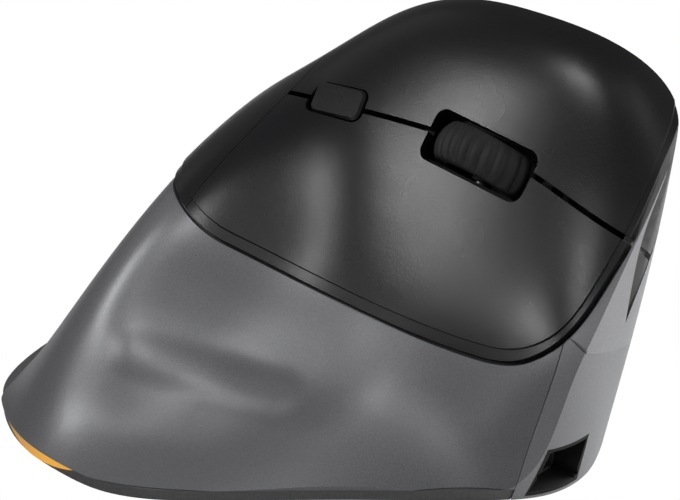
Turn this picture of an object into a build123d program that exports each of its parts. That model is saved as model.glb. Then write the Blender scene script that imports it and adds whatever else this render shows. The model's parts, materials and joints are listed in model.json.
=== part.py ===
from build123d import *
import math
import os

os.makedirs("parts", exist_ok=True)

# Overall body, in millimetres. +Y is the front, +X the finger side, +Z up.
# The origin is at the middle of the underside.
body_length = 108.0
body_width = 89.0
body_height = 70.0

# The slope under the fingers
slope_angle = 50.0
slot_x = -28.0
slot_z = 48.6

# Walls and fits of the housing
wall = 2.2
cover_wall = 1.8
cover_flange = 1.0
proud_front = 1.3
proud_rear = 0.5
cover_gap = 0.6
band_low = 2.1
band_front = 1.0
band_step = 0.35
ledge_depth = 1.3
ledge_width = 2.0
seam = 0.12
overrun = 40.0
foot_height = 0.6
base_wall = 2.0
base_inset = 0.35
nose_clearance = 0.12

# Seams of the housing
nose_turn = 40.0
nose_depth = 18.0
nose_foot_reach = 36.3
nose_top_reach = 46.1
nose_top_z = 27.4
nose_far_reach = 59.1
nose_far_z = 18.5
thumb_seam_x = -30.0
thumb_seam_y = 34.0
thumb_front_x = -13.0
thumb_front_y = 44.0

# Keys, slot and wheel opening, on the deck
slot_width = 1.0
key_split_y = -25.0
key_split_gap = 0.12
key_boss_radius = 1.6

# Menu button behind the wheel
dpi_length = 11.3
dpi_width = 6.0
dpi_s = -0.3
dpi_y = -13.9
dpi_turn = 4.0
dpi_corner = 1.6
dpi_gap = 0.35
dpi_top = 2.1
dpi_chamfer = 0.45
dpi_lip = 0.7
dpi_lip_top = -1.6
dpi_lip_wall = 0.9
dpi_stem_radius = 1.4
dpi_travel = 0.25

# Scroll wheel and its cradle
wheel_s = 1.1
wheel_y = 18.8
wheel_turn = 7.0
wheel_radius = 11.0
wheel_width = 7.4
wheel_height = -4.6
tyre_depth = 2.6
tyre_crown = 0.9
tread_count = 26
tread_radius = 0.8
opening_length = 23.6
opening_width = 10.0
opening_corner = 2.2
axle_radius = 1.0
axle_reach = 5.2
run_fit = 0.05
hub_slot_count = 12
hub_slot_radius = 4.6
hub_slot_hole = 0.8
arm_gap = 0.4
arm_wall = 1.1
arm_height = 3.6
arm_rise = 1.5
bar_depth = 2.4
pivot_y = 13.6
pivot_drop = 1.0
pivot_radius = 0.75
foot_y = -14.6
post_gap = 0.3
post_wall = 1.2
post_depth = 3.2

# Tilted board, its chassis and switches
board_top = -10.0
board_wall = 1.2
standoff = 0.5
deck_edge_front_s = -4.9
deck_edge_mid_s = -6.3
deck_edge_rear_s = -2.0
deck_edge_mid_front_y = 33.0
deck_edge_mid_rear_y = -2.0
chassis_edge_inset = 1.1
chassis_wall = 1.2
board_end_s = 24.0
chassis_end_s = 21.8
deck_rear_y = -20.5
deck_front_y = 43.2
board_screw_s = 18.0
board_screw_high_s = 5.0
board_screw_rear_y = -17.9
board_screw_front_y = 30.0
tact_size = 4.6
tact_body = 2.4
tact_button_radius = 1.1
tact_button = 0.7
low_tact_body = 1.5
low_tact_button = 0.6
click_length = 12.8
click_depth = 5.8
click_height = 5.4
click_y = 39.5
left_click_s = 1.6
right_click_s = 15.2
click_plunger_shift = -3.4
plunger_size = 1.6
plunger_proud = 0.6
plunger_seat = 1.5
touch_gap = 0.05
gate_width = 1.3
gate_length = 3.6
gate_height = 2.0
gate_clearance = 0.35
screw_radius = 1.1
screw_head_radius = 2.1
screw_head = 1.1
screw_length = 2.6

# Chassis webs
web_wall = 2.4
web_rear_y = -17.0
web_front_y = 41.0
web_foot_x = -26.0
web_foot_width = 6.0
web_foot_height = 6.0
web_foot_reach = 3.5
web_outer_x = -30.0
web_outer_z = 18.0
web_top_x = -37.9
web_top_z = 40.3
web_notch_z = 33.0
web_end_x = -23.9
web_end_z = 23.6

# Thumb buttons, side board and switches
thumb_button_z = 28.5
thumb_button_height = 7.0
thumb_button_length = 15.5
thumb_button_gap = 0.3
thumb_button_between = 1.4
thumb_button_centre_y = 18.0
thumb_button_corner = 2.0
thumb_button_proud = 0.8
thumb_lip = 0.8
thumb_lip_gap = 0.25
thumb_lip_wall = 0.8
thumb_travel = 0.6
side_board_x = -34.6
side_board_wall = 1.2
side_board_height = 10.5
side_board_length = 42.0
side_boss_radius = 1.7
side_boss_inset = 1.8
side_screw_radius = 0.8
side_screw_head_radius = 1.5
side_screw_head = 0.8
side_screw_length = 4.0
thumb_boss_radius = 1.3
thumb_boss_root = 2.5
thumb_boss_proud = 0.2

# Underside, feet and screws
screw_pilot = 0.05
post_radius = 3.4
base_head_radius = 2.2
base_head = 1.1
base_head_gap = 0.25
base_screw_length = 4.2
base_post_height = 9.0
glide_wall = 0.7
glide_length = 16.0
glide_width = 6.0
glide_gap = 0.15
glide_corner = 2.9

# Main board and what it carries
main_board_bottom = 5.4
main_board_wall = 1.2
main_board_width = 19.0
main_board_length = 47.0
main_board_x = -3.5
main_board_y = 21.0
main_post_radius = 2.0
main_taper_y = 18.0
main_taper_end_y = 40.0
main_nose_x = -3.2
main_side_post_x = 2.0
main_side_post_y = 20.5
main_front_post_y = 36.3
socket_room_gap = 0.15
sensor_x = -5.0
sensor_y = 12.0
sensor_size = 9.0
sensor_height = 2.2
sensor_hole = 5.0
lens_width = 9.6
lens_length = 14.0
lens_neck = 6.4
lens_lift = 0.5
lens_flange = 1.3
aperture_gap = 0.25
chip_size = 7.0
chip_height = 0.9
chip_y = 27.0
socket_x = -7.2
socket_width = 8.9
socket_height = 3.2
socket_length = 7.4
socket_wall = 0.35
socket_face_y = 48.4
tongue_height = 0.7
tongue_width = 6.4
port_top_z = 8.8
port_bottom_z = 1.9
port_drop = 0.7
port_left_x = -1.4
port_width = 9.3
port_lean = 3.7
liner_wall = 0.6
liner_back = 0.8
liner_gap = 0.08

# Battery, ribbon, power switch and lamps
battery_x = -8.0
battery_y = -25.0
battery_width = 26.0
battery_length = 38.0
battery_height = 5.6
battery_corner = 1.6
pad_wall = 0.8
ribbon_wall = 0.3
ribbon_width = 9.0
ribbon_y = 24.0
ribbon_socket = 1.7
power_x = 2.0
power_y = 7.0
power_length = 8.6
power_width = 3.4
power_height = 2.1
power_stem = 1.3
power_travel = 2.0
knob_length = 3.6
knob_width = 3.0
knob_height = 0.8
knob_gap = 0.2
strip_rear_y = -36.0
strip_front_y = -14.5
strip_low_z = 0.95
strip_wall = 1.5
strip_gap = 0.08
guide_width = 9.0
guide_reach = 13.0
guide_wall = 1.0
lamp_size = 1.6
lamp_height = 0.7
lamp_board_wall = 0.8
lamp_board_length = 12.0
lamp_board_width = 5.0
lamp_board_x = 30.4
lamp_board_y = -26.0
lamp_board_z = 3.4
lamp_rest = 1.0
lamp_x = 31.2
lamp_pitch = 3.0
guide_inner_x = 30.0

half_length = body_length / 2
half_width = body_width / 2
base_top = foot_height + base_wall

# Sections of the upper surface from the thumb side down to the finger side. Each row is
# a place along the length as a share of half the length, then points across it as shares
# of half the width and of the height.
section_shares = [
    (1.111, [(-1.213, 0.571), (-1.034, 0.729), (-0.854, 0.664), (-0.652, 0.521), (-0.315, 0.300),
             (-0.225, 0.220), (-0.135, 0.115), (-0.045, 0.010), (0.067, -0.090), (0.225, -0.190)]),
    (0.852, [(-1.213, 0.771), (-1.011, 0.879), (-0.831, 0.786), (-0.629, 0.619), (-0.258, 0.362),
             (-0.163, 0.268), (-0.067, 0.153), (0.034, 0.060), (0.130, -0.020), (0.300, -0.100)]),
    (0.593, [(-1.213, 0.871), (-0.989, 0.970), (-0.831, 0.878), (-0.629, 0.667), (-0.220, 0.323),
             (-0.090, 0.214), (0.045, 0.133), (0.202, 0.077), (0.378, 0.040), (0.652, 0.000)]),
    (0.259, [(-1.213, 0.886), (-0.978, 0.982), (-0.831, 0.898), (-0.629, 0.694), (-0.198, 0.350),
             (-0.022, 0.254), (0.157, 0.174), (0.404, 0.103), (0.685, 0.043), (0.966, -0.014)]),
    (-0.111, [(-1.213, 0.814), (-0.966, 0.931), (-0.831, 0.869), (-0.629, 0.703), (-0.146, 0.404),
              (0.067, 0.304), (0.292, 0.200), (0.562, 0.109), (0.944, 0.043), (1.258, -0.014)]),
    (-0.444, [(-1.213, 0.657), (-0.955, 0.771), (-0.809, 0.757), (-0.607, 0.700), (0.000, 0.521),
              (0.225, 0.421), (0.472, 0.289), (0.708, 0.160), (0.978, 0.043), (1.258, -0.043)]),
    (-0.741, [(-1.213, 0.471), (-0.944, 0.586), (-0.787, 0.586), (-0.562, 0.543), (-0.112, 0.404),
              (0.135, 0.329), (0.371, 0.243), (0.596, 0.139), (0.809, 0.043), (1.079, -0.057)]),
    (-1.148, [(-1.213, 0.114), (-0.944, 0.229), (-0.764, 0.243), (-0.539, 0.221), (-0.180, 0.129),
              (0.045, 0.057), (0.270, -0.029), (0.449, -0.114), (0.629, -0.200), (0.854, -0.314)]),
]

# Plan outlines of the side wall, as shares of half the width and half the length. The
# finger side is the same at every height, the thumb side leans out as it rises.
finger_side_shares = [
    (0.708, -0.843), (0.854, -0.696), (0.955, -0.519), (0.998, -0.333), (1.000, -0.148),
    (0.921, 0.019), (0.798, 0.157), (0.548, 0.393), (0.292, 0.648),
]
foot_shares = finger_side_shares + [
    (0.034, 0.894), (-0.090, 0.969), (-0.303, 0.989), (-0.517, 0.926), (-0.708, 0.824),
    (-0.831, 0.611), (-0.888, 0.185), (-0.843, -0.370), (-0.652, -0.778), (-0.270, -0.972),
    (0.135, -1.000), (0.449, -0.954),
]
waist_shares = finger_side_shares + [
    (0.034, 0.898), (-0.112, 0.972), (-0.337, 0.993), (-0.620, 0.966), (-0.895, 0.885),
    (-0.965, 0.680), (-0.973, 0.185), (-0.921, -0.370), (-0.697, -0.778), (-0.292, -0.972),
    (0.135, -1.000), (0.449, -0.954),
]
crown_shares = finger_side_shares + [
    (0.034, 0.907), (-0.135, 0.981), (-0.404, 1.000), (-0.740, 1.000), (-0.985, 0.952),
    (-1.000, 0.740), (-1.000, 0.185), (-0.955, -0.370), (-0.742, -0.778), (-0.315, -0.972),
    (0.135, -1.000), (0.449, -0.954),
]
waist_height_share = 0.46
crown_height_share = 1.06

# Outline of the cover on the sloping deck: shares of the body height down the slope from
# the slot, and of half the length.
cover_outline_shares = [
    (0.438, -0.30), (0.452, 0.00), (0.467, 0.30), (0.466, 0.60), (0.440, 0.78), (0.375, 0.885),
    (0.230, 0.930), (0.060, 0.940), (-0.130, 0.935), (-0.270, 0.905), (-0.400, 0.780),
    (-0.500, 0.450), (-0.520, 0.000), (-0.450, -0.550), (-0.250, -0.850), (0.060, -0.850),
    (0.285, -0.660), (0.388, -0.480),
]

# Height of the seam between the cover and the thumb shell, along the length
thumb_seam_shares = [
    (-1.148, 0.10), (-0.741, 0.46), (-0.444, 0.66), (-0.111, 0.825), (0.259, 0.890),
    (0.593, 0.870), (0.852, 0.760), (0.960, 0.680), (1.111, 0.560),
]
thumb_block_depth = 4.5
cover_depth = 14.0

# Middle line of the slot between the keys: shares of the body height down the slope, and of
# half the length.
slot_shares = [
    (0.014, -0.463), (-0.004, -0.093), (-0.009, 0.111), (0.017, 0.556), (0.051, 0.731), (0.100, 1.080),
]

sample_rows = 15
sample_columns = 24


def outward_face():
    """The upper surface through the section points."""
    rows = []
    for place, points in section_shares:
        row = [Vector(x * half_width, place * half_length, z * body_height) for x, z in points]
        rows.append(row)
    return Face.make_surface_from_array_of_points(rows)


def shifted_face(face, shift_at):
    """The upper surface moved along its normals by shift_at(y)."""
    rows = []
    for i in range(sample_rows):
        row = []
        for j in range(sample_columns):
            u = i / (sample_rows - 1)
            v = j / (sample_columns - 1)
            point = face.position_at(u, v)
            normal = face.normal_at(u, v)
            if normal.Z < 0:
                normal = -normal
            row.append(point + normal * shift_at(point.Y))
        rows.append(row)
    return Face.make_surface_from_array_of_points(rows)


def below(face):
    """Everything under a surface."""
    return extrude(face, amount=body_height * 2, dir=(0, 0, -1))


def ring_points(shares, grow, x_size, y_size):
    """Points of a closed outline, moved outward by grow."""
    points = [Vector(x * x_size, y * y_size) for x, y in shares]
    ring = []
    for i, point in enumerate(points):
        along = (points[(i + 1) % len(points)] - points[i - 1]).normalized()
        ring.append(Vector(point.X + along.Y * grow, point.Y - along.X * grow))
    return ring


def walls(inset):
    """The solid inside the side wall, inset from its outer face."""
    wires = []
    for shares, height in (
        (foot_shares, 0),
        (waist_shares, waist_height_share * body_height),
        (crown_shares, crown_height_share * body_height),
    ):
        ring = ring_points(shares, -inset, half_width, half_length)
        wires.append(Wire([Spline(*[p + Vector(0, 0, height) for p in ring], periodic=True)]))
    return Solid.make_loft(wires)


def span(x0, x1, y0, y1, z0, z1):
    """A block between two corners."""
    block = Box(abs(x1 - x0), abs(y1 - y0), abs(z1 - z0))
    return Pos((x0 + x1) / 2, (y0 + y1) / 2, (z0 + z1) / 2) * block


def rod(x, y, z0, z1, radius):
    """An upright cylinder between two heights."""
    return Pos(x, y, (z0 + z1) / 2) * Cylinder(radius, abs(z1 - z0))


def cross_rod(radius, length):
    """A cylinder lying along X, centred."""
    return Rot(0, 90, 0) * Cylinder(radius, length)


def plate(points, z0, z1):
    """A flat plate from an outline of corner points."""
    face = make_face(Polyline(*points, close=True))
    return Pos(0, 0, z0) * extrude(face, amount=z1 - z0)


def side_plate(points, y0, y1):
    """A plate standing across the body, from its outline in x and z."""
    face = make_face(Polyline(*[(x, 0, z) for x, z in points], close=True))
    return Pos(0, y0, 0) * extrude(face, amount=y1 - y0, dir=(0, 1, 0))


def rounded_block(length, width, z0, z1, corner):
    """A block with rounded upright corners, centred on its own axis."""
    face = RectangleRounded(length, width, corner)
    return Pos(0, 0, z0) * extrude(face, amount=z1 - z0)


slope = math.radians(slope_angle)
deck = Plane(
    origin=(slot_x, 0, slot_z),
    x_dir=(math.cos(slope), 0, -math.sin(slope)),
    z_dir=(math.sin(slope), 0, math.cos(slope)),
).location
wheel_deck = deck * Pos(wheel_s, wheel_y, 0) * Rot(0, 0, -wheel_turn)
dpi_deck = deck * Pos(dpi_s, dpi_y, 0) * Rot(0, 0, dpi_turn)


def proud(y):
    """How far the cover stands above the shells, at a place along the length."""
    share = (y + half_length) / body_length
    return proud_rear + (proud_front - proud_rear) * min(1, max(0, share))


# Master surfaces and solids
top_face = outward_face()
outer = below(top_face) & walls(0)
inner = below(shifted_face(top_face, lambda y: -wall)) & walls(wall)
ledge_core = below(shifted_face(top_face, lambda y: -ledge_depth)) & walls(ledge_depth)
cover_outer = below(shifted_face(top_face, proud)) & walls(0)
band_core = below(shifted_face(top_face, lambda y: proud(y) - band_step))
cover_inner = below(shifted_face(top_face, lambda y: proud(y) - cover_wall)) & walls(cover_flange)

def cover_ring(band, grow):
    """The outline of the cover's face, or of its outer band, grown to all sides."""
    face_ring = ring_points(cover_outline_shares, 0, body_height, half_length)
    ring = []
    for i, point in enumerate(face_ring):
        along = (face_ring[(i + 1) % len(face_ring)] - face_ring[i - 1]).normalized()
        low = band * band_low * max(0, along.Y)
        front = band * band_front * along.X
        reach = math.hypot(low, front) + grow
        ring.append(Vector(point.X + along.Y * reach, point.Y - along.X * reach))
    return ring


def cover_zone(band, grow):
    """The space of the cover: its face with band 0, or all of it with band 1."""
    ring = cover_ring(band, grow)
    face = make_face(Spline(*ring, periodic=True))
    zone = deck * (Pos(0, 0, -cover_depth - grow) * extrude(face, amount=cover_depth + overrun))
    seam_points = [(y * half_length, z * body_height - grow) for y, z in thumb_seam_shares]
    top_edge = Spline(*[(0, y, z) for y, z in seam_points])
    first = (0, seam_points[0][0], -overrun)
    last = (0, seam_points[-1][0], -overrun)
    rim = Polyline(top_edge @ 1, last, first, top_edge @ 0)
    block = extrude(make_face([top_edge, rim]), amount=overrun, dir=(-1, 0, 0))
    return zone - Pos(-half_width + thumb_block_depth - grow, 0, 0) * block


def nose_zone(grow):
    """The space of the nose piece, seen square to the front corner, grown to all sides."""
    turn = math.radians(nose_turn)
    view = Plane(
        origin=(0, 0, 0),
        x_dir=(-math.sin(turn), math.cos(turn), 0),
        z_dir=(math.cos(turn), math.sin(turn), 0),
    )
    fall = (nose_top_z - nose_far_z) / (nose_far_reach - nose_top_reach)
    points = [
        (nose_foot_reach - grow, -grow),
        (nose_top_reach - grow, nose_top_z + grow),
        (nose_top_reach + body_width, nose_top_z - fall * body_width + grow),
        (nose_top_reach + body_width, -body_height),
        (nose_foot_reach - grow, -body_height),
    ]
    outline = make_face(Polyline(*points, close=True))
    prism = view.location * extrude(outline, amount=body_length, both=True)
    rear = half_length - nose_depth - grow
    return prism & span(-body_width, body_width, rear, body_length, -overrun, body_height)


def thumb_zone(grow):
    """The space of the thumb shell, before the nose is taken out."""
    points = [
        (thumb_seam_x + grow, -half_length - overrun),
        (thumb_seam_x + grow, thumb_seam_y - grow),
        (thumb_front_x + grow, thumb_front_y - grow),
        (thumb_front_x + grow, half_length + overrun),
        (-half_width - overrun, half_length + overrun),
        (-half_width - overrun, -half_length - overrun),
    ]
    return plate(points, -overrun, body_height + overrun)


def biggest(shape):
    """The largest solid of a shape."""
    return max(shape.solids(), key=lambda solid: solid.volume)


def above(height):
    """The space over a level."""
    reach = body_length
    return span(-reach, reach, -reach, reach, height, height + body_height * 2)


# The two shells, the nose and the cover, cut from the master solids
opening = cover_zone(1, cover_gap) - ledge_core
shell = outer - inner - opening - cover_zone(1, -ledge_width)
shell_bottom = foot_height + base_wall + seam
upper_shell = shell & above(shell_bottom)
skirt = upper_shell - nose_zone(nose_clearance) - thumb_zone(seam)
thumb = (upper_shell & thumb_zone(0)) - nose_zone(nose_clearance)
nose = (shell & nose_zone(0)) & above(foot_height + seam)
band_space = cover_zone(1, ledge_width) - cover_zone(0, 0) - band_core
cover = (cover_outer & cover_zone(1, 0)) - cover_inner - band_space

pieces = {}


def hold(name, *shapes):
    """Keep the solids of one piece under its name."""
    solids = []
    for shape in shapes:
        solids.extend(shape.solids())
    pieces[name] = solids


def on_deck(shape):
    """Move a shape from the deck's own axes to its place."""
    return deck * shape


def slot_ribbon(width):
    """The winding slot between the two keys, cut square to the deck."""
    points = [Vector(s * body_height, y * half_length) for s, y in slot_shares]
    left = []
    right = []
    for i, point in enumerate(points):
        ahead = points[min(i + 1, len(points) - 1)]
        behind = points[max(i - 1, 0)]
        along = (ahead - behind).normalized()
        left.append(Vector(point.X - along.Y * width / 2, point.Y + along.X * width / 2))
        right.append(Vector(point.X + along.Y * width / 2, point.Y - along.X * width / 2))
    first = Spline(*left)
    second = Spline(*reversed(right))
    outline = [first, Line(first @ 1, second @ 0), second, Line(second @ 1, first @ 0)]
    return Pos(0, 0, -cover_depth) * extrude(make_face(outline), amount=cover_depth * 2)


# The cover is split into the palm piece and the two keys, round the wheel and menu button
wheel_opening = rounded_block(opening_width, opening_length, -cover_depth, cover_depth, opening_corner)
dpi_opening = rounded_block(
    dpi_width + 2 * dpi_gap, dpi_length + 2 * dpi_gap, -cover_depth, cover_depth, dpi_corner + dpi_gap
)
cover = biggest(cover) - wheel_deck * wheel_opening - dpi_deck * dpi_opening
deck_reach = body_length
palm_space = on_deck(
    span(-deck_reach, deck_reach, -deck_reach, key_split_y, -deck_reach, deck_reach)
)
key_space = on_deck(
    span(-deck_reach, deck_reach, key_split_y + key_split_gap, deck_reach, -deck_reach, deck_reach)
)
palm = biggest(cover & palm_space)
keys = (cover & key_space) - on_deck(slot_ribbon(slot_width))
key_list = sorted(keys.solids(), key=lambda solid: solid.volume)[-2:]
key_list.sort(key=lambda solid: -solid.center().Z)


def key_boss(s):
    """The boss under a key, down to its switch plunger."""
    tip = board_top + click_height + plunger_proud + touch_gap
    boss = Pos(s, click_y, (tip + cover_wall) / 2) * Cylinder(key_boss_radius, cover_wall - tip)
    return on_deck(boss) & below(shifted_face(top_face, lambda y: 0))


left_plunger_s = left_click_s + click_plunger_shift
right_plunger_s = right_click_s + click_plunger_shift
hold("palm_cover", palm)
hold("left_button", key_list[0] + key_boss(left_plunger_s))
hold("right_button", key_list[1] + key_boss(right_plunger_s))


def dpi_button():
    """Menu button: a cap, a lip that keeps it under the cover, and a stem to its switch."""
    cap = rounded_block(dpi_width, dpi_length, dpi_lip_top, dpi_top, dpi_corner)
    cap = chamfer(cap.faces().sort_by(Axis.Z)[-1].edges(), dpi_chamfer)
    lip = rounded_block(
        dpi_width + 2 * dpi_lip, dpi_length + 2 * dpi_lip, dpi_lip_top - dpi_lip_wall, dpi_lip_top,
        dpi_corner + dpi_lip,
    )
    stem_tip = board_top + tact_body + tact_button + dpi_travel + touch_gap
    stem = rod(0, 0, stem_tip, dpi_lip_top - dpi_lip_wall, dpi_stem_radius)
    return dpi_deck * (cap + lip + stem)


def tact_switch(height, button):
    """A small push switch standing on the board."""
    half = tact_size / 2
    top = board_top + height
    return span(-half, half, -half, half, board_top, top) + rod(0, 0, top, top + button, tact_button_radius)


hold("dpi_button", dpi_button())
hold("dpi_switch", dpi_deck * tact_switch(tact_body, tact_button))


def wheel_tyre():
    """Ribbed rubber tyre, crowned across its tread, on the wheel's own axis."""
    half = wheel_width / 2
    rim = wheel_radius - tyre_depth
    side = wheel_radius - tyre_crown
    profile = make_face([
        Line((-half, rim), (half, rim)),
        Line((half, rim), (half, side)),
        ThreePointArc((half, side), (0, wheel_radius), (-half, side)),
        Line((-half, side), (-half, rim)),
    ])
    tyre = revolve(profile, Axis.X)
    groove = Rot(0, 90, 0) * Cylinder(tread_radius, wheel_width * 2)
    depth = wheel_radius + tread_radius / 2
    for i in range(tread_count):
        turn = 360 * i / tread_count
        tyre -= Rot(turn, 0, 0) * (Pos(0, depth, 0) * groove)
    return tyre


def wheel_hub():
    """Hub with the ring of holes that the light gate reads."""
    rim = wheel_radius - tyre_depth
    hub = Rot(0, 90, 0) * Cylinder(rim, wheel_width)
    waist = Rot(0, 90, 0) * Cylinder(rim - wall / 2, wheel_width)
    web = Rot(0, 90, 0) * Cylinder(rim - wall / 2, wall)
    hub = hub - waist + web
    hub += Rot(0, 90, 0) * Cylinder(axle_radius * 2, wheel_width)
    hub -= Rot(0, 90, 0) * Cylinder(axle_radius, wheel_width * 2)
    hole = Rot(0, 90, 0) * Cylinder(hub_slot_hole, wheel_width * 2)
    for i in range(hub_slot_count):
        hub -= Rot(360 * i / hub_slot_count, 0, 0) * (Pos(0, hub_slot_radius, 0) * hole)
    return hub


wheel_seat = wheel_deck * Pos(0, 0, wheel_height)
arm_in = wheel_width / 2 + arm_gap
arm_out = arm_in + arm_wall
pivot_z = wheel_height - pivot_drop
post_in = arm_out + post_gap
post_out = post_in + post_wall
hold("wheel_tyre", wheel_seat * wheel_tyre())
hold("wheel_hub", wheel_seat * wheel_hub())
hold("wheel_axle", wheel_seat * (Rot(0, 90, 0) * Cylinder(axle_radius, axle_reach * 2)))


def wheel_carrier():
    """Cradle with two arms, a bar at each end and the foot over the middle switch."""
    low = pivot_z - arm_height / 2
    high = wheel_height + arm_rise
    rear = foot_y - bar_depth / 2
    front = pivot_y + bar_depth / 2
    frame = span(-arm_out, arm_out, rear, front, low, high)
    frame -= span(-arm_in, arm_in, rear + bar_depth, front - bar_depth, low - wall, high + wall)
    frame -= Pos(0, 0, wheel_height) * (Rot(0, 90, 0) * Cylinder(axle_radius + run_fit, body_width))
    frame -= Pos(0, pivot_y, pivot_z) * (Rot(0, 90, 0) * Cylinder(pivot_radius + run_fit, body_width))
    return wheel_deck * frame


hold("wheel_carrier", wheel_carrier())
pin_turned = Rot(0, 90, 0) * Cylinder(pivot_radius, post_out * 2)
hold("carrier_pin", wheel_deck * (Pos(0, pivot_y, pivot_z) * pin_turned))
hold("middle_click_switch", wheel_deck * (Pos(0, foot_y, 0) * tact_switch(low_tact_body, low_tact_button)))


def light_gate(side):
    """One half of the light gate beside the wheel."""
    near = arm_in + gate_clearance
    far = near + gate_width
    return wheel_deck * span(
        side * near, side * far, -gate_length / 2, gate_length / 2, board_top, board_top + gate_height
    )


hold("encoder_emitter", light_gate(1))
hold("encoder_receiver", light_gate(-1))


def click_switch(s):
    """Body of a click switch, with the well that its plunger slides in."""
    body = span(
        s - click_length / 2, s + click_length / 2, click_y - click_depth / 2, click_y + click_depth / 2,
        board_top, board_top + click_height,
    )
    room = plunger_size / 2 + run_fit
    well = span(
        s + click_plunger_shift - room, s + click_plunger_shift + room, click_y - room, click_y + room,
        board_top + click_height - plunger_seat - plunger_proud, board_top + click_height + wall,
    )
    return on_deck(body - well)


def click_plunger(s):
    """Plunger of a click switch."""
    half = plunger_size / 2
    top = board_top + click_height
    return on_deck(span(
        s + click_plunger_shift - half, s + click_plunger_shift + half, click_y - half, click_y + half,
        top - plunger_seat, top + plunger_proud,
    ))


for side_name, place in (("left", left_click_s), ("right", right_click_s)):
    hold(side_name + "_switch", click_switch(place))
    hold(side_name + "_plunger", click_plunger(place))

# Tilted board and the chassis under it. The outlines follow the thumb wall: each row is a
# place along the slope from the slot and a place along the length.
def deck_plate(end_s, inset, z0, z1):
    """A plate on the deck, its upper edge along the thumb wall."""
    rear = deck_rear_y
    front = deck_front_y
    points = [
        (end_s, rear),
        (end_s, front),
        (deck_edge_front_s + inset, front),
        (deck_edge_mid_s + inset, deck_edge_mid_front_y),
        (deck_edge_mid_s + inset, deck_edge_mid_rear_y),
        (deck_edge_rear_s + inset, rear),
    ]
    return plate(points, z0, z1)


screw_places = [
    (board_screw_s, board_screw_rear_y), (board_screw_s, board_screw_front_y),
    (board_screw_high_s, board_screw_rear_y),
]


def wheel_cutout(z0, z1):
    """The opening under the wheel and its cradle's posts."""
    half = arm_in + gate_clearance / 2
    reach = wheel_radius + arm_gap * 2
    slot = span(-half, half, -reach, reach, z0, z1)
    wide = post_out + post_gap
    deep = post_depth / 2 + post_gap
    return wheel_deck * (slot + span(-wide, wide, pivot_y - deep, pivot_y + deep, z0, z1))


def switch_board():
    """Tilted circuit board under the keys."""
    low = board_top - board_wall
    board = on_deck(deck_plate(board_end_s, 0, low, board_top))
    board -= wheel_cutout(low - wall, board_top + wall)
    for s, y in screw_places:
        board -= on_deck(rod(s, y, low - wall, board_top + wall, screw_radius + run_fit))
    return board


chassis_top = board_top - board_wall - standoff
chassis_bottom = chassis_top - chassis_wall


def chassis_web(y):
    """A web that carries the tilted deck from the base plate, with its foot."""
    points = [
        (web_outer_x, base_top),
        (web_foot_x + web_foot_reach, base_top),
        (web_end_x, web_end_z),
        (web_top_x, web_top_z),
        (web_top_x, web_notch_z),
        (web_outer_x, web_outer_z),
    ]
    return side_plate(points, y - web_wall / 2, y + web_wall / 2)


def chassis():
    """Sloping chassis with standoffs, the posts of the wheel cradle and two webs."""
    body = on_deck(deck_plate(chassis_end_s, chassis_edge_inset, chassis_bottom, chassis_top))
    reach = wheel_radius + arm_gap * 2
    half = arm_in + gate_clearance / 2
    body -= wheel_deck * span(-half, half, -reach, reach, chassis_bottom - wall, chassis_top + wall)
    for side in (-1, 1):
        post = span(
            side * post_in, side * post_out, pivot_y - post_depth / 2, pivot_y + post_depth / 2,
            chassis_bottom, pivot_z + pivot_radius * 2,
        )
        journal = Rot(0, 90, 0) * Cylinder(pivot_radius + screw_pilot / 2, body_width)
        post -= Pos(0, pivot_y, pivot_z) * journal
        body += wheel_deck * post
    for y in (web_rear_y, web_front_y):
        body += chassis_web(y)
        foot = span(
            web_foot_x - web_foot_width / 2, web_foot_x + web_foot_width / 2,
            y - web_foot_width / 2, y + web_foot_width / 2, base_top, base_top + web_foot_height,
        )
        body += foot
        body -= rod(
            web_foot_x, y, base_top - wall, base_top + web_foot_height - wall, screw_radius + screw_pilot
        )
    for s, y in screw_places:
        body += on_deck(rod(s, y, chassis_top, chassis_top + standoff, screw_head_radius))
        body -= on_deck(rod(s, y, chassis_bottom - wall, board_top, screw_radius + screw_pilot))
    return biggest(body)


def screw(x, y, seat, length, head_radius, head, up):
    """A screw whose head rests on a seat; up is 1 when the head is above it."""
    shank = rod(x, y, seat - up * length, seat, screw_radius)
    return shank + rod(x, y, seat, seat + up * head, head_radius)


hold("switch_board", switch_board())
hold("chassis", chassis())
hold("switch_board_screws", *[
    on_deck(screw(s, y, board_top, screw_length, screw_head_radius, screw_head, 1)) for s, y in screw_places
])


def thumb_button(y):
    """A thumb button in the side wall, with the lip that keeps it in."""
    def window(grow):
        face = RectangleRounded(
            thumb_button_length + 2 * grow, thumb_button_height + 2 * grow, thumb_button_corner + grow
        )
        turned = Plane(origin=(0, y, thumb_button_z), x_dir=(0, 1, 0), z_dir=(1, 0, 0))
        return turned.location * extrude(face, amount=-body_width)
    lip_skin = wall + thumb_lip_gap
    inside = lip_skin + thumb_lip_wall
    face = (walls(-thumb_button_proud) - walls(inside)) & window(0)
    lip = (walls(lip_skin) - walls(inside)) & window(thumb_lip)
    button = biggest(face + lip)
    tip = button.bounding_box().max.X + thumb_boss_proud
    boss = Pos(tip - thumb_boss_root / 2, y, thumb_button_z) * cross_rod(thumb_boss_radius, thumb_boss_root)
    return button + boss, window(thumb_button_gap)


button_step = (thumb_button_length + thumb_button_between) / 2 + thumb_button_gap
back_y = thumb_button_centre_y - button_step
forward_y = thumb_button_centre_y + button_step
thumb_shell = biggest(thumb)
thumb_tips = {}
for name, y in (("back_button", back_y), ("forward_button", forward_y)):
    button, window = thumb_button(y)
    thumb_shell = thumb_shell - window
    thumb_tips[name] = button.bounding_box().max.X
    hold(name, button)


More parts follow.
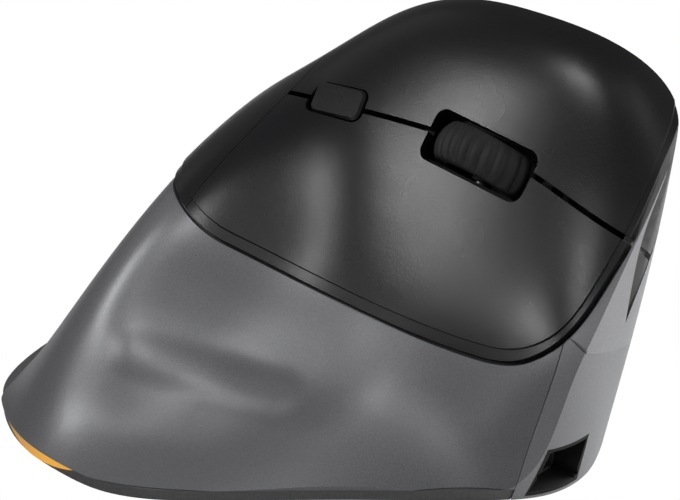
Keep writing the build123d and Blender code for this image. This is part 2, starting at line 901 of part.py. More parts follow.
def side_switch(y, tip):
    """Push switch on the side board, facing a thumb button."""
    button = cross_rod(tact_button_radius, tact_button)
    body_x = side_board_x - side_board_wall / 2
    reach = body_x - tip - thumb_travel - touch_gap - tact_button
    block = span(
        body_x - reach, body_x, y - tact_size / 2, y + tact_size / 2,
        thumb_button_z - tact_size / 2, thumb_button_z + tact_size / 2,
    )
    return block + Pos(body_x - reach - tact_button / 2, y, thumb_button_z) * button


hold(
    "side_switches",
    side_switch(back_y, thumb_tips["back_button"]),
    side_switch(forward_y, thumb_tips["forward_button"]),
)
side_low = thumb_button_z - side_board_height / 2
side_inner_x = side_board_x + side_board_wall / 2
side_outer_x = side_board_x - side_board_wall / 2
side_ends = [
    thumb_button_centre_y - side_board_length / 2 + side_boss_inset,
    thumb_button_centre_y + side_board_length / 2 - side_boss_inset,
]
side_board = span(
    side_outer_x, side_inner_x, thumb_button_centre_y - side_board_length / 2,
    thumb_button_centre_y + side_board_length / 2, side_low, side_low + side_board_height,
)
side_screws = []
for y in side_ends:
    place = Pos(side_inner_x - side_screw_length / 2, y, thumb_button_z)
    boss = Pos(side_outer_x - half_width / 2, y, thumb_button_z) * cross_rod(side_boss_radius, half_width)
    thumb_shell = thumb_shell + (boss & walls(ledge_depth))
    side_pilot = cross_rod(side_screw_radius + screw_pilot, side_screw_length + run_fit)
    thumb_shell = thumb_shell - place * side_pilot
    side_board = side_board - place * cross_rod(side_screw_radius + run_fit, side_screw_length * 2)
    head_place = Pos(side_inner_x + side_screw_head / 2, y, thumb_button_z)
    head = head_place * cross_rod(side_screw_head_radius, side_screw_head)
    side_screws.append(head + place * cross_rod(side_screw_radius, side_screw_length))
hold("side_board", side_board)
hold("side_board_screws", *side_screws)

# The port recess, its liner and the charging socket
socket_z = main_board_bottom - socket_height / 2


def port_prism(grow, y0, y1):
    """The slanted opening of the port, from y0 to y1."""
    points = [
        (port_left_x + grow, port_bottom_z - grow),
        (port_left_x - port_lean + grow, port_top_z + grow),
        (port_left_x - port_lean - port_width - grow, port_top_z - port_drop + grow),
        (port_left_x - port_width - grow, port_bottom_z - grow),
    ]
    return side_plate(points, y0, y1)


liner_rear_y = socket_face_y - liner_back
nose_piece = biggest(nose) - port_prism(liner_wall + liner_gap, half_length - nose_depth, body_length)
liner_block = port_prism(liner_wall, liner_rear_y, body_length) - port_prism(0, socket_face_y, body_length)
socket_room = Pos(socket_x, 0, socket_z) * span(
    -socket_width / 2 - run_fit, socket_width / 2 + run_fit, 0, body_length,
    -socket_height / 2 - run_fit, socket_height / 2 + run_fit,
)
hold("port_liner", (liner_block - socket_room) & walls(liner_gap) & nose_zone(0) & above(foot_height + seam))


def usb_socket():
    """Metal shell of the socket with its contact tongue."""
    shape = RectangleRounded(socket_width, socket_height, socket_height / 2 - run_fit)
    bore = RectangleRounded(
        socket_width - 2 * socket_wall, socket_height - 2 * socket_wall,
        socket_height / 2 - socket_wall - run_fit,
    )
    turned = Plane(origin=(socket_x, socket_face_y, socket_z), x_dir=(-1, 0, 0), z_dir=(0, 1, 0))
    body = extrude(shape, amount=-socket_length)
    body -= extrude(bore, amount=-socket_length + socket_wall * 2)
    tongue = Box(tongue_width, tongue_height, socket_length - socket_wall * 3)
    tongue = Pos(0, 0, -socket_length / 2 - socket_wall) * tongue
    return turned.location * (body + tongue)


hold("usb_socket", usb_socket())

# Main board with its sensor, lens, chip, sockets and power switch
board_rear = main_board_y - main_board_length / 2
board_front = main_board_y + main_board_length / 2
board_left = main_board_x - main_board_width / 2
board_right = main_board_x + main_board_width / 2
main_top = main_board_bottom + main_board_wall
corner = main_post_radius + run_fit
main_posts = [
    (board_left + corner, board_rear + corner), (board_right - corner, board_rear + corner),
    (board_left + corner, main_front_post_y), (main_side_post_x, main_side_post_y),
]


def main_board():
    """Main circuit board on the base plate's posts."""
    outline = [
        (board_left, board_rear), (board_right, board_rear), (board_right, main_taper_y),
        (main_nose_x, main_taper_end_y), (main_nose_x, board_front), (board_left, board_front),
    ]
    board = plate(outline, main_board_bottom, main_top)
    board -= span(
        sensor_x - sensor_hole / 2, sensor_x + sensor_hole / 2, sensor_y - sensor_hole / 2,
        sensor_y + sensor_hole / 2, main_board_bottom - wall, main_top + wall,
    )
    for x, y in main_posts:
        board -= rod(x, y, main_board_bottom - wall, main_top + wall, screw_radius + run_fit)
    return board


hold("main_board", main_board())
hold("main_board_screws", *[
    screw(x, y, main_top, screw_length, screw_head_radius, screw_head, 1) for x, y in main_posts
])
sensor_body = rounded_block(sensor_size, sensor_size, 0, sensor_height, run_fit * 4)
hold("sensor_chip", Pos(sensor_x, sensor_y, main_top) * sensor_body)
chip_body = rounded_block(chip_size, chip_size, 0, chip_height, run_fit * 2)
hold("controller_chip", Pos(main_board_x, chip_y, main_top) * chip_body)


def sensor_lens():
    """Clear lens between the base plate's window and the sensor."""
    low = foot_height + lens_lift
    neck = span(
        sensor_x - lens_neck / 2, sensor_x + lens_neck / 2, sensor_y - lens_neck / 2,
        sensor_y + lens_neck / 2, low, base_top,
    )
    flange = span(
        sensor_x - lens_width / 2, sensor_x + lens_width / 2, sensor_y - lens_length / 2,
        sensor_y + lens_length / 2, base_top, base_top + lens_flange,
    )
    return neck + flange + rod(sensor_x, sensor_y, base_top, main_board_bottom, sensor_hole / 2 - run_fit)


hold("sensor_lens", sensor_lens())
power_low = main_board_bottom - power_height
hold("power_switch", span(
    power_x - power_width / 2, power_x + power_width / 2, power_y - power_length / 2,
    power_y + power_length / 2, power_low, main_board_bottom,
))
knob_y = power_y - power_travel / 2
stem = span(
    power_x - power_stem / 2, power_x + power_stem / 2, knob_y - power_stem / 2, knob_y + power_stem / 2,
    foot_height + knob_gap, power_low - touch_gap,
)
knob = span(
    power_x - knob_width / 2, power_x + knob_width / 2, knob_y - knob_length / 2, knob_y + knob_length / 2,
    foot_height + knob_gap, foot_height + knob_gap + knob_height,
)
hold("power_knob", stem + knob)

# Battery on its pad, and the flat ribbon between the boards
pad_top = base_top + pad_wall
hold("battery_pad", span(
    battery_x - battery_width / 2, battery_x + battery_width / 2, battery_y - battery_length / 2,
    battery_y + battery_length / 2, base_top, pad_top,
))
battery_face = fillet(
    span(
        battery_x - battery_width / 2, battery_x + battery_width / 2, battery_y - battery_length / 2,
        battery_y + battery_length / 2, pad_top, pad_top + battery_height,
    ).edges(), battery_corner,
)
hold("battery", battery_face)
ribbon_low = Vector(board_left + ribbon_socket, ribbon_y, main_top + ribbon_socket)
ribbon_high_s = (board_end_s + chassis_end_s) / 2
ribbon_high_drop = board_top - board_wall - ribbon_socket - ribbon_wall
ribbon_high = (deck * Pos(ribbon_high_s, ribbon_y, ribbon_high_drop)).position
ribbon_knee = ribbon_low + Vector(0, 0, ribbon_socket * 2)
half_ribbon = ribbon_width / 2


def ribbon():
    """Flat cable from the main board up to the tilted board."""
    side = math.hypot(ribbon_high.X - ribbon_knee.X, ribbon_high.Z - ribbon_knee.Z)
    nx = (ribbon_knee.Z - ribbon_high.Z) / side * ribbon_wall
    nz = (ribbon_high.X - ribbon_knee.X) / side * ribbon_wall
    points = [
        (ribbon_low.X, ribbon_low.Z), (ribbon_knee.X, ribbon_knee.Z), (ribbon_high.X, ribbon_high.Z),
        (ribbon_high.X + nx, ribbon_high.Z + nz), (ribbon_knee.X - ribbon_wall, ribbon_knee.Z + nz / 2),
        (ribbon_low.X - ribbon_wall, ribbon_low.Z),
    ]
    return side_plate(points, ribbon_y - half_ribbon, ribbon_y + half_ribbon)


hold("ribbon_cable", ribbon())
low_socket = span(
    ribbon_low.X - ribbon_socket / 2, ribbon_low.X + ribbon_socket,
    ribbon_y - half_ribbon - ribbon_socket / 2,
    ribbon_y + half_ribbon + ribbon_socket / 2, main_top, ribbon_low.Z,
)
high_socket = on_deck(span(
    ribbon_high_s - ribbon_socket / 2, ribbon_high_s + ribbon_socket / 2,
    ribbon_y - half_ribbon - ribbon_socket / 2, ribbon_y + half_ribbon + ribbon_socket / 2,
    board_top - board_wall - ribbon_socket, board_top - board_wall,
))
hold("ribbon_sockets", low_socket, high_socket)

# Base plate with everything that it carries or lets through
plan_reach = body_length


def slab(z0, z1):
    """All of the plan between two heights."""
    return span(-plan_reach, plan_reach, -plan_reach, plan_reach, z0, z1)


def strip_space(grow):
    """The crescent of the light strip, seen from the side, through the rim."""
    middle = (strip_rear_y + strip_front_y) / 2
    spread = grow * (strip_front_y - strip_rear_y) / (base_top - strip_low_z) / 2
    ends = [(strip_rear_y - spread, base_top + grow), (strip_front_y + spread, base_top + grow)]
    low = ThreePointArc(
        (0, ends[1][0], ends[1][1]), (0, middle, strip_low_z - grow), (0, ends[0][0], ends[0][1])
    )
    top = Line((0, ends[0][0], ends[0][1]), (0, ends[1][0], ends[1][1]))
    return extrude(make_face([low, top]), amount=body_width, dir=(1, 0, 0))


def strip_guide(grow, top):
    """The tongue that carries the lamps' light out to the strip."""
    half = guide_width / 2 + grow
    return span(
        guide_inner_x - grow, guide_inner_x + guide_reach, lamp_board_y - half, lamp_board_y + half,
        base_top - guide_wall - grow, top,
    )


strip_rim = (walls(0) - walls(strip_wall)) & strip_space(0)
hold("light_strip", strip_rim + (strip_guide(0, base_top) & walls(strip_wall / 2)))

# Places of the base screws and glide feet
skirt_rear_screw_x = 24.0
skirt_rear_screw_y = -30.0
skirt_side_screw_x = 14.0
skirt_side_screw_y = 8.0
thumb_rear_screw_x = -33.0
thumb_rear_screw_y = -22.0
thumb_front_screw_x = -33.5
thumb_front_screw_y = 26.0
nose_screw_x = -19.0
nose_screw_y = 46.8
glide_end_x = -8.0
glide_front_y = 41.0
glide_rear_y = -44.0
glide_thumb_x = -30.0
glide_thumb_y = 5.0
glide_side_x = 36.0
glide_side_y = -14.0
glide_turn = 90
base_screw_places = [
    (skirt_rear_screw_x, skirt_rear_screw_y, "skirt"), (skirt_side_screw_x, skirt_side_screw_y, "skirt"),
    (thumb_rear_screw_x, thumb_rear_screw_y, "thumb"), (thumb_front_screw_x, thumb_front_screw_y, "thumb"),
    (nose_screw_x, nose_screw_y, "nose"),
    (web_foot_x, web_rear_y, "chassis"), (web_foot_x, web_front_y, "chassis"),
]
glide_places = [
    (glide_end_x, glide_front_y, glide_turn), (glide_thumb_x, glide_thumb_y, 0),
    (glide_end_x, glide_rear_y, glide_turn), (glide_side_x, glide_side_y, 0),
]
head_seat = foot_height + base_head + base_head_gap


def base_plate():
    """The plate that closes the underside."""
    body = walls(base_inset) & slab(foot_height, base_top)
    body -= nose_zone(nose_clearance) - walls(wall + seam)
    body -= span(
        port_left_x - port_width - port_lean - liner_wall - seam, port_left_x + liner_wall + seam,
        liner_rear_y - seam, body_length, 0, base_top + wall,
    )
    half = lens_neck / 2 + aperture_gap
    body -= span(sensor_x - half, sensor_x + half, sensor_y - half, sensor_y + half, 0, base_top + wall)
    body -= strip_space(strip_gap) - walls(strip_wall + strip_gap)
    body -= strip_guide(strip_gap, base_top + wall)
    room = socket_width / 2 + socket_room_gap
    body -= span(
        socket_x - room, socket_x + room, socket_face_y - socket_length - socket_room_gap, body_length,
        socket_z - socket_height / 2 - socket_room_gap, base_top + wall,
    )
    half_x = knob_width / 2 + knob_gap
    half_y = (knob_length + power_travel) / 2 + knob_gap
    body -= span(
        power_x - half_x, power_x + half_x, power_y - half_y, power_y + half_y,
        0, foot_height + knob_height + 2 * knob_gap,
    )
    half_x = power_stem / 2 + knob_gap
    half_y = (power_stem + power_travel) / 2 + knob_gap
    body -= span(power_x - half_x, power_x + half_x, power_y - half_y, power_y + half_y, 0, base_top + wall)
    for x, y, turn in glide_places:
        body -= Pos(x, y, 0) * Rot(0, 0, turn) * rounded_block(
            glide_width + 2 * glide_gap, glide_length + 2 * glide_gap, 0, glide_wall, glide_corner + glide_gap
        )
    for x, y, owner in base_screw_places:
        body -= rod(x, y, 0, head_seat, base_head_radius + base_head_gap)
        body -= rod(x, y, 0, base_top + wall, screw_radius + run_fit)
    for x, y in main_posts:
        body += rod(x, y, base_top, main_board_bottom, main_post_radius)
        body -= rod(x, y, base_top, main_board_bottom, screw_radius + screw_pilot)
    half = lamp_board_length / 2
    for y0 in (lamp_board_y - half, lamp_board_y + half - lamp_rest):
        body += span(
            lamp_board_x - lamp_board_width / 2, lamp_board_x + lamp_board_width / 2, y0, y0 + lamp_rest,
            base_top, lamp_board_z,
        )
    return biggest(body)


hold("base_plate", base_plate())
hold("glide_feet", *[
    Pos(x, y, 0) * Rot(0, 0, turn) * rounded_block(glide_width, glide_length, 0, glide_wall, glide_corner)
    for x, y, turn in glide_places
])
hold("base_screws", *[
    screw(x, y, head_seat, base_screw_length, base_head_radius, base_head, -1)
    for x, y, owner in base_screw_places
])
lamps = [
    Pos(lamp_x, lamp_board_y + step * lamp_pitch, lamp_board_z - lamp_height / 2)
    * Box(lamp_size, lamp_size, lamp_height)
    for step in (-1, 1)
]
strip_board = Pos(lamp_board_x, lamp_board_y, lamp_board_z + lamp_board_wall / 2) * Box(
    lamp_board_width, lamp_board_length, lamp_board_wall
)
for lamp in lamps:
    strip_board = strip_board + lamp
hold("strip_board", strip_board)


def shell_posts(body, owner, top):
    """A shell with the screw posts that it owns."""
    for x, y, name in base_screw_places:
        if name == owner:
            body = body + (rod(x, y, shell_bottom, top, post_radius) & ledge_core)
            body = body - rod(x, y, 0, head_seat + base_screw_length + run_fit, screw_radius + screw_pilot)
    return biggest(body)


hold("skirt_shell", shell_posts(biggest(skirt), "skirt", body_height))
hold("thumb_shell", shell_posts(thumb_shell, "thumb", shell_bottom + base_post_height))
hold("front_nose", shell_posts(nose_piece, "nose", shell_bottom + base_post_height))

for name, solids in pieces.items():
    shape = solids[0] if len(solids) == 1 else Compound(children=solids)
    export_step(shape, "parts/" + name + ".step")
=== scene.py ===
import bpy
import bmesh
import json
import math
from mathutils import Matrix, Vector


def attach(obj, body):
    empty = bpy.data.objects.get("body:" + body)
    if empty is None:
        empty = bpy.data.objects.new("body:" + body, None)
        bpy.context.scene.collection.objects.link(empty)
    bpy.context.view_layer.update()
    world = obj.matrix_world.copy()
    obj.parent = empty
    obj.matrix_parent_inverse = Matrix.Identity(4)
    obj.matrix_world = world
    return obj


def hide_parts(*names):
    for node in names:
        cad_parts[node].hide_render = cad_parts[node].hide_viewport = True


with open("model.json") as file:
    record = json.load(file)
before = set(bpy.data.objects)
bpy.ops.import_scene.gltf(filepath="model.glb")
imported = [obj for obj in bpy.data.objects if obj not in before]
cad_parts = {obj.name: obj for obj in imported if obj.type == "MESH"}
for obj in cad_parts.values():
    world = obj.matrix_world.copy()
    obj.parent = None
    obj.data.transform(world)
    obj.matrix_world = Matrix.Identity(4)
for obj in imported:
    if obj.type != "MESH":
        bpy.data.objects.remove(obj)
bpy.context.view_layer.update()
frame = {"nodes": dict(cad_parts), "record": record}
nodes = frame["nodes"]
print("frame loaded")

# Camera: stands where the photo was taken from. Degrees and metres, with lens and sensor in millimetres.
camera = {
    "name": "photo_camera", "azimuth": 130.0, "elevation": 25.0, "distance": 0.560,
    "target": (-0.002, 0.0075, 0.035), "lens": 167.8, "sensor": 36.0,
}


# Unit vector from the mouse to a place at this azimuth and elevation
def towards(azimuth, elevation):
    turn = math.radians(azimuth)
    rise = math.radians(elevation)
    return Vector((math.sin(turn) * math.cos(rise), -math.cos(turn) * math.cos(rise), math.sin(rise)))


def aim(thing, place, target):
    thing.location = place
    thing.rotation_euler = (Vector(target) - Vector(place)).to_track_quat("-Z", "Y").to_euler()


def placed(name, data):
    thing = bpy.data.objects.new(name, data)
    bpy.context.scene.collection.objects.link(thing)
    return thing


cameraData = bpy.data.cameras.new(camera["name"])
cameraData.lens = camera["lens"]
cameraData.sensor_width = camera["sensor"]
cameraThing = placed(camera["name"], cameraData)
cameraWay = towards(camera["azimuth"], camera["elevation"])
aim(cameraThing, Vector(camera["target"]) + cameraWay * camera["distance"], camera["target"])
bpy.context.scene.camera = cameraThing
bpy.context.scene.view_settings.view_transform = "Standard"
print("camera placed")

# Soft boxes: each lights a spot from an azimuth, elevation and distance. Metres, degrees and watts.
middle = (0.0, 0.0, 0.03)
lowerKey = (-0.022, 0.012, 0.041)
skirtMiddle = (0.012, -0.005, 0.014)
softBoxes = [
    {"name": "key_box", "spot": lowerKey, "azimuth": 50, "elevation": 32, "distance": 0.14,
     "size": 0.015, "power": 0.034},
    {"name": "top_box", "spot": skirtMiddle, "azimuth": 100, "elevation": 78, "distance": 0.14,
     "size": 0.02, "power": 0.024},
    {"name": "skirt_box", "spot": middle, "azimuth": 118, "elevation": 62, "distance": 0.50,
     "size": 0.06, "power": 0.02},
    {"name": "rear_box", "spot": middle, "azimuth": 0, "elevation": 35, "distance": 0.60,
     "size": 0.30, "power": 0.05},
    {"name": "front_box", "spot": middle, "azimuth": 200, "elevation": 12, "distance": 0.50,
     "size": 0.30, "power": 0.45},
    {"name": "thumb_box", "spot": middle, "azimuth": 250, "elevation": 30, "distance": 0.50,
     "size": 0.30, "power": 2.6},
    {"name": "fill_box", "spot": middle, "azimuth": 150, "elevation": 60, "distance": 0.50,
     "size": 0.12, "power": 0.05},
]
for box in softBoxes:
    lamp = bpy.data.lights.new(box["name"], "AREA")
    lamp.shape = "DISK"
    lamp.size = box["size"]
    lamp.energy = box["power"]
    light = placed(box["name"], lamp)
    light.visible_camera = False
    way = towards(box["azimuth"], box["elevation"])
    aim(light, Vector(box["spot"]) + way * box["distance"], box["spot"])
print("lights placed")


# A small builder for node materials
class Finish:
    def __init__(self, name):
        self.material = bpy.data.materials.new(name)
        self.material.use_nodes = True
        self.tree = self.material.node_tree
        self.shader = self.tree.nodes["Principled BSDF"]

    def node(self, kind, **values):
        made = self.tree.nodes.new(kind)
        for key, value in values.items():
            setattr(made, key, value)
        return made

    def join(self, source, target):
        self.tree.links.new(source, target)

    def noise(self, scale, detail=2.0, roughness=0.5):
        place = self.node("ShaderNodeTexCoord")
        made = self.node("ShaderNodeTexNoise")
        made.inputs["Scale"].default_value = scale
        made.inputs["Detail"].default_value = detail
        made.inputs["Roughness"].default_value = roughness
        self.join(place.outputs["Object"], made.inputs["Vector"])
        return made.outputs["Fac"]

    # The middle of a noise's values is stretched from low to high, unless another stretch is given
    def mapped(self, source, low, high, fromLow=0.3, fromHigh=0.7):
        made = self.node("ShaderNodeMapRange")
        made.inputs["From Min"].default_value = fromLow
        made.inputs["From Max"].default_value = fromHigh
        made.inputs["To Min"].default_value = low
        made.inputs["To Max"].default_value = high
        self.join(source, made.inputs["Value"])
        return made.outputs["Result"]

    def colours(self, source, dark, light):
        made = self.node("ShaderNodeMix", data_type="RGBA")
        made.inputs["A"].default_value = (*dark, 1)
        made.inputs["B"].default_value = (*light, 1)
        self.join(self.mapped(source, 0.0, 1.0), made.inputs["Factor"])
        self.join(made.outputs["Result"], self.shader.inputs["Base Color"])

    def bump(self, source, strength, distance):
        made = self.node("ShaderNodeBump")
        made.inputs["Strength"].default_value = strength
        made.inputs["Distance"].default_value = distance
        self.join(source, made.inputs["Height"])
        self.join(made.outputs["Normal"], self.shader.inputs["Normal"])

    def set(self, **values):
        for key, value in values.items():
            self.shader.inputs[key.replace("_", " ")].default_value = value


# Grain that the moulded surfaces share: speckle, slight cloudiness of the roughness, and bump
grain = {"detail": 3.0, "coarseness": 0.6, "cloudScale": 90.0, "cloudSwing": 0.008, "bump": 0.35}

# Finishes: colour and its speckle's spread, roughness, grain per metre and grain depth in metres
finishes = {
    "satin_black": {"name": "satin black cover", "colour": (0.0075, 0.0077, 0.0088), "spread": 0.30,
                    "roughness": 0.28, "scale": 3600, "depth": 0.00007},
    # The nose's and the thumb side's greys are lighter than the skirt's grey lacquer of the same shells.
    # That is painted light for the light that the nose's turned face and the thumb side's grazing face
    # catch.
    "nose_grey": {"name": "nose grey with painted light", "colour": (0.27, 0.272, 0.280), "spread": 0.15,
                  "roughness": 0.44, "scale": 4200, "depth": 0.00003, "metallic": 0.30},
    "thumb_grey": {"name": "thumb side grey with painted light", "colour": (0.31, 0.312, 0.320),
                   "spread": 0.15, "roughness": 0.44, "scale": 4200, "depth": 0.00003, "metallic": 0.30},
    "base_grey": {"name": "base plate plastic", "colour": (0.130, 0.130, 0.134), "spread": 0.2,
                  "roughness": 0.50, "scale": 2600, "depth": 0.00006},
    "black_plastic": {"name": "black plastic", "colour": (0.005, 0.005, 0.0055), "spread": 0.25,
                      "roughness": 0.7, "scale": 2600, "depth": 0.00004},
    "tyre_rubber": {"name": "wheel rubber", "colour": (0.014, 0.014, 0.014), "spread": 0.3,
                    "roughness": 0.62, "scale": 2400, "depth": 0.00006},
    "chip_black": {"name": "chip resin", "colour": (0.006, 0.006, 0.0064), "spread": 0.3,
                   "roughness": 0.8, "scale": 1800, "depth": 0.00004},
    "board_green": {"name": "circuit board lacquer", "colour": (0.012, 0.11, 0.045), "spread": 0.25,
                    "roughness": 0.3, "scale": 700, "depth": 0.00003},
    "foam_grey": {"name": "foam", "colour": (0.16, 0.16, 0.16), "spread": 0.3,
                  "roughness": 0.9, "scale": 1500, "depth": 0.0002},
    "glide_white": {"name": "glide foot", "colour": (0.70, 0.70, 0.68), "spread": 0.05,
                    "roughness": 0.4, "scale": 1600, "depth": 0.00004},
    "cable_white": {"name": "cable film", "colour": (0.72, 0.71, 0.68), "spread": 0.05,
                    "roughness": 0.4, "scale": 1600, "depth": 0.00003},
    "steel": {"name": "brushed steel", "colour": (0.32, 0.32, 0.33), "spread": 0.12,
              "roughness": 0.42, "scale": 1800, "depth": 0.00003, "metallic": 1.0},
    "foil_silver": {"name": "cell foil", "colour": (0.6, 0.6, 0.61), "spread": 0.12,
                    "roughness": 0.34, "scale": 500, "depth": 0.00008, "metallic": 1.0},
}


# Moulded or painted plastic: fine speckle, slight cloudiness and a grained surface
def moulded(look):
    made = Finish(look["name"])
    dark = [c * (1 - look["spread"]) for c in look["colour"]]
    light = [min(1, c * (1 + look["spread"])) for c in look["colour"]]
    speck = made.noise(look["scale"], grain["detail"], grain["coarseness"])
    cloud = made.noise(grain["cloudScale"])
    made.colours(speck, dark, light)
    swing = grain["cloudSwing"]
    dull = made.mapped(cloud, look["roughness"] - swing, look["roughness"] + swing)
    made.join(dull, made.shader.inputs["Roughness"])
    made.bump(speck, grain["bump"], look["depth"])
    made.set(Metallic=look.get("metallic", 0.0))
    return made.material


materials = {slot: moulded(look) for slot, look in finishes.items()}

# Soft forms of the skirt: the ends of each middle line, its half width, and its rise, below zero for a dip
skirtForms = [
    {"from": (0.0120, -0.0170, 0.0215), "to": (0.0040, 0.0070, 0.0160),
     "halfWidth": 0.0090, "rise": -0.00095},
    {"from": (0.0220, -0.0200, 0.0145), "to": (0.0120, 0.0050, 0.0120),
     "halfWidth": 0.0034, "rise": 0.00040},
    {"from": (0.0230, -0.0160, 0.0110), "to": (0.0190, -0.0070, 0.0090),
     "halfWidth": 0.0080, "rise": 0.00085},
]
skirtLook = {
    "scale": 4200.0, "dark": (0.170, 0.172, 0.178), "light": (0.250, 0.252, 0.262), "metallic": 0.45,
    "roughness": 0.40, "depth": 0.00001,
}


# The skirt's soft forms are added to the height that its surface is shaded from
def pressedForms(made, height):
    place = made.node("ShaderNodeTexCoord")
    for form in skirtForms:
        start = Vector(form["from"])
        along = Vector(form["to"]) - start
        offset = made.node("ShaderNodeVectorMath", operation="SUBTRACT")
        offset.inputs[1].default_value = start
        made.join(place.outputs["Object"], offset.inputs[0])
        share = made.node("ShaderNodeVectorMath", operation="DOT_PRODUCT")
        share.inputs[1].default_value = along / along.length_squared
        made.join(offset.outputs["Vector"], share.inputs[0])
        held = made.node("ShaderNodeClamp")
        made.join(share.outputs["Value"], held.inputs["Value"])
        reach = made.node("ShaderNodeVectorMath", operation="SCALE")
        reach.inputs[0].default_value = along
        made.join(held.outputs["Result"], reach.inputs["Scale"])
        gap = made.node("ShaderNodeVectorMath", operation="DISTANCE")
        made.join(offset.outputs["Vector"], gap.inputs[0])
        made.join(reach.outputs["Vector"], gap.inputs[1])
        lift = made.node("ShaderNodeMapRange", interpolation_type="SMOOTHERSTEP")
        lift.inputs["From Min"].default_value = 0.0
        lift.inputs["From Max"].default_value = form["halfWidth"] * 2
        lift.inputs["To Min"].default_value = form["rise"]
        lift.inputs["To Max"].default_value = 0.0
        made.join(gap.outputs["Value"], lift.inputs["Value"])
        added = made.node("ShaderNodeMath", operation="ADD")
        made.join(height, added.inputs[0])
        made.join(lift.outputs["Result"], added.inputs[1])
        height = added.outputs["Value"]
    return height


# Grey metallic lacquer over the skirt's soft forms
def skirtLacquer():
    made = Finish("grey metallic lacquer")
    speck = made.noise(skirtLook["scale"], grain["detail"], grain["coarseness"])
    made.colours(speck, skirtLook["dark"], skirtLook["light"])
    made.set(Metallic=skirtLook["metallic"], Roughness=skirtLook["roughness"])
    fine = made.node("ShaderNodeMath", operation="MULTIPLY")
    fine.inputs[1].default_value = skirtLook["depth"]
    made.join(speck, fine.inputs[0])
    made.bump(pressedForms(made, fine.outputs["Value"]), 1.0, 1.0)
    return made.material


lensLook = {
    "scale": 300.0, "dark": (0.85, 0.88, 0.9), "light": (0.95, 0.97, 1.0),
    "clearness": 0.9, "roughness": 0.04, "bending": 1.49,
}


def clearLens():
    made = Finish("clear lens")
    made.colours(made.noise(lensLook["scale"]), lensLook["dark"], lensLook["light"])
    made.set(Transmission_Weight=lensLook["clearness"], Roughness=lensLook["roughness"])
    made.set(IOR=lensLook["bending"])
    return made.material


# Lit amber plastic: its colour runs from the rear end to the front end, at these places along the mouse
amberLook = {
    "rearY": -0.036, "frontY": -0.022, "rear": (0.42, 0.23, 0.075, 1), "front": (0.90, 0.44, 0.055, 1),
    "glow": 0.55, "roughness": 0.35, "scale": 1500.0, "bump": 0.2, "depth": 0.00003,
}


def amberStrip():
    made = Finish("amber strip")
    place = made.node("ShaderNodeTexCoord")
    split = made.node("ShaderNodeSeparateXYZ")
    made.join(place.outputs["Object"], split.inputs["Vector"])
    along = made.mapped(split.outputs["Y"], 0.0, 1.0, amberLook["rearY"], amberLook["frontY"])
    mix = made.node("ShaderNodeMix", data_type="RGBA")
    mix.inputs["A"].default_value = amberLook["rear"]
    mix.inputs["B"].default_value = amberLook["front"]
    made.join(along, mix.inputs["Factor"])
    made.join(mix.outputs["Result"], made.shader.inputs["Base Color"])
    made.join(mix.outputs["Result"], made.shader.inputs["Emission Color"])
    made.set(Emission_Strength=amberLook["glow"], Roughness=amberLook["roughness"])
    made.bump(made.noise(amberLook["scale"]), amberLook["bump"], amberLook["depth"])
    return made.material


materials["shell_grey"] = skirtLacquer()
materials["lens_clear"] = clearLens()
materials["amber"] = amberStrip()
print("materials made")

slotOfNode = {row["node"]: row["material_slot"] for row in frame["record"]["subparts"]}
bodyOfNode = {}
for bodyName, members in frame["record"]["behaviour"]["bodies"].items():
    for member in members:
        bodyOfNode[member] = bodyName

for name, thing in nodes.items():
    thing.data.materials.clear()
    thing.data.materials.append(materials[slotOfNode[name]])
print("nodes dressed")

# Rounded copies of the moulded pieces: their edges catch light, as moulded edges do. Widths in metres.
softEdges = {
    "palm_cover": 0.00030, "left_button": 0.00030, "right_button": 0.00030, "dpi_button": 0.00022,
    "skirt_shell": 0.00016, "thumb_shell": 0.00016, "front_nose": 0.00016, "port_liner": 0.00010,
    "base_plate": 0.00025,
}
rounding = {"sharp": math.radians(32), "steps": 2, "merge": 0.000002, "sliver": 0.000001}


# A new piece takes the place of a CAD node, with its body
def standFor(thing, name):
    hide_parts(name)
    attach(thing, bodyOfNode[name])


def roundedCopy(name, width):
    data = nodes[name].data.copy()
    work = bmesh.new()
    work.from_mesh(data)
    bmesh.ops.remove_doubles(work, verts=work.verts, dist=rounding["merge"])
    bmesh.ops.dissolve_degenerate(work, dist=rounding["sliver"], edges=work.edges)
    for face in work.faces:
        face.smooth = True
    for edge in work.edges:
        edge.smooth = not (edge.is_manifold and edge.calc_face_angle(0) > rounding["sharp"])
    work.to_mesh(data)
    work.free()
    thing = placed(name + "_skin", data)
    bevel = thing.modifiers.new("soft edge", "BEVEL")
    bevel.width = width
    bevel.segments = rounding["steps"]
    bevel.limit_method = "ANGLE"
    bevel.angle_limit = rounding["sharp"]
    bevel.harden_normals = True
    standFor(thing, name)


for name, width in softEdges.items():
    roundedCopy(name, width)
print("rounded pieces made")

# The deck under the keys slopes down from this place. Places on it go down the slope, forward and off it.
deck = {"x": -0.028, "z": 0.0486, "slope": math.radians(50)}


def deckPlace(s, y, h):
    sine = math.sin(deck["slope"])
    cosine = math.cos(deck["slope"])
    return Vector((deck["x"] + s * cosine + h * sine, y, deck["z"] - s * sine + h * cosine))


# Wheel tyre: a barrel with shallow, leaning cross ribs, on the axle's own axes
wheel = {
    "centre": (0.0011, 0.0188, -0.0046), "turn": math.radians(-7), "radius": 0.0110, "width": 0.0074,
    "depth": 0.0026, "crown": 0.0009, "ribs": 26, "ribDepth": 0.00055, "aroundPerRib": 14, "across": 28,
    "lean": math.radians(10), "edge": 0.0006,
    "edgePower": 2.6, "crownPower": 2, "wavePower": 0.55, "fadePower": 6,
}
wheelCentre = deckPlace(*wheel["centre"])
slopeAxis = deckPlace(1, 0, 0) - deckPlace(0, 0, 0)
upAxis = deckPlace(0, 0, 1) - deckPlace(0, 0, 0)
frontAxis = Vector((0, 1, 0))
wheelAcross = slopeAxis * math.cos(wheel["turn"]) + frontAxis * math.sin(wheel["turn"])
wheelAlong = frontAxis * math.cos(wheel["turn"]) - slopeAxis * math.sin(wheel["turn"])


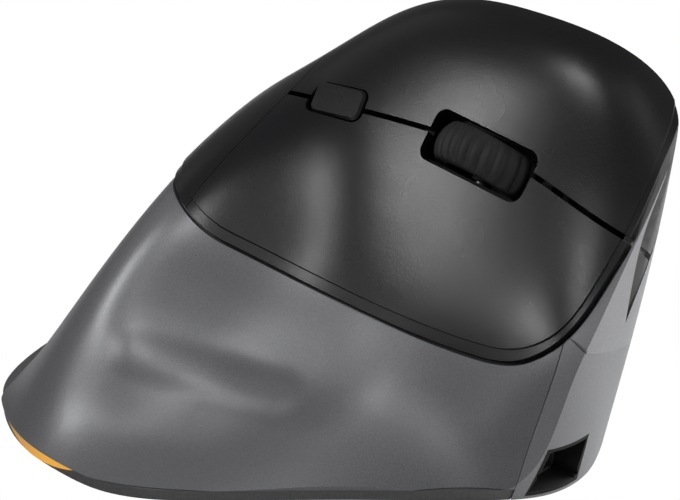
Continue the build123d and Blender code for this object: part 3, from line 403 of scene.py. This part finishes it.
# Radius of the tread at a share of the half width and a turn of the wheel
def tyreRadius(share, turn):
    side = 1 - math.sqrt(max(0.0, 1 - abs(share) ** wheel["edgePower"]))
    barrel = wheel["radius"] - wheel["crown"] * abs(share) ** wheel["crownPower"]
    lean = math.tan(wheel["lean"]) * share * wheel["width"] / 2 / wheel["radius"]
    wave = 0.5 - 0.5 * math.cos((turn + lean) * wheel["ribs"])
    fade = 1 - abs(share) ** wheel["fadePower"]
    groove = wheel["ribDepth"] * (1 - wave ** wheel["wavePower"]) * fade
    return barrel - groove - side * wheel["edge"]


def makeTyre():
    work = bmesh.new()
    around = wheel["ribs"] * wheel["aroundPerRib"]
    bore = wheel["radius"] - wheel["depth"]
    halfWidth = wheelAcross * wheel["width"] / 2
    rings = []
    for i in range(around):
        turn = 2 * math.pi * i / around
        spoke = wheelAlong * math.cos(turn) + upAxis * math.sin(turn)
        shares = [-1 + 2 * j / wheel["across"] for j in range(wheel["across"] + 1)]
        places = [wheelCentre + spoke * tyreRadius(share, turn) + halfWidth * share for share in shares]
        places += [wheelCentre + spoke * bore + halfWidth * share for share in (1, -1)]
        rings.append([work.verts.new(place) for place in places])
    for i, ring in enumerate(rings):
        following = rings[(i + 1) % around]
        for j in range(len(ring)):
            k = (j + 1) % len(ring)
            work.faces.new((ring[j], ring[k], following[k], following[j]))
    bmesh.ops.recalc_face_normals(work, faces=work.faces)
    for face in work.faces:
        face.smooth = True
    data = bpy.data.meshes.new("ribbed_tyre")
    work.to_mesh(data)
    work.free()
    thing = placed("ribbed_tyre", data)
    data.materials.append(materials["tyre_rubber"])
    standFor(thing, "wheel_tyre")


makeTyre()
print("tyre made")

# Floor and surroundings: white to the camera, pale grey to the rest of the light. Lengths in metres.
studio = {
    "floorHalf": 1.5, "floorDrop": 0.0002, "floorColour": (0.75, 0.75, 0.75, 1), "floorRoughness": 0.9,
    "white": (1, 1, 1, 1), "backdrop": (0.168, 0.168, 0.172, 1),
}


def paleFloor():
    made = Finish("pale floor")
    path = made.node("ShaderNodeLightPath")
    glow = made.node("ShaderNodeEmission")
    mix = made.node("ShaderNodeMixShader")
    made.set(Base_Color=studio["floorColour"], Roughness=studio["floorRoughness"])
    made.join(path.outputs["Is Camera Ray"], mix.inputs[0])
    made.join(made.shader.outputs["BSDF"], mix.inputs[1])
    made.join(glow.outputs["Emission"], mix.inputs[2])
    made.join(mix.outputs["Shader"], made.tree.nodes["Material Output"].inputs["Surface"])
    return made.material


floorData = bpy.data.meshes.new("floor")
half = studio["floorHalf"]
floorCorners = [(-half, -half, 0), (half, -half, 0), (half, half, 0), (-half, half, 0)]
floorData.from_pydata(floorCorners, [], [(0, 1, 2, 3)])
floorThing = placed("floor", floorData)
floorThing.location = (0, 0, -studio["floorDrop"])
floorData.materials.append(paleFloor())

world = bpy.data.worlds.new("studio")
bpy.context.scene.world = world
world.use_nodes = True
tree = world.node_tree
backdrop = tree.nodes["Background"]
path = tree.nodes.new("ShaderNodeLightPath")
white = tree.nodes.new("ShaderNodeBackground")
white.inputs["Color"].default_value = studio["white"]
backdrop.inputs["Color"].default_value = studio["backdrop"]
mix = tree.nodes.new("ShaderNodeMixShader")
tree.links.new(path.outputs["Is Camera Ray"], mix.inputs[0])
tree.links.new(backdrop.outputs["Background"], mix.inputs[1])
tree.links.new(white.outputs["Background"], mix.inputs[2])
tree.links.new(mix.outputs["Shader"], tree.nodes["World Output"].inputs["Surface"])
print("studio made")
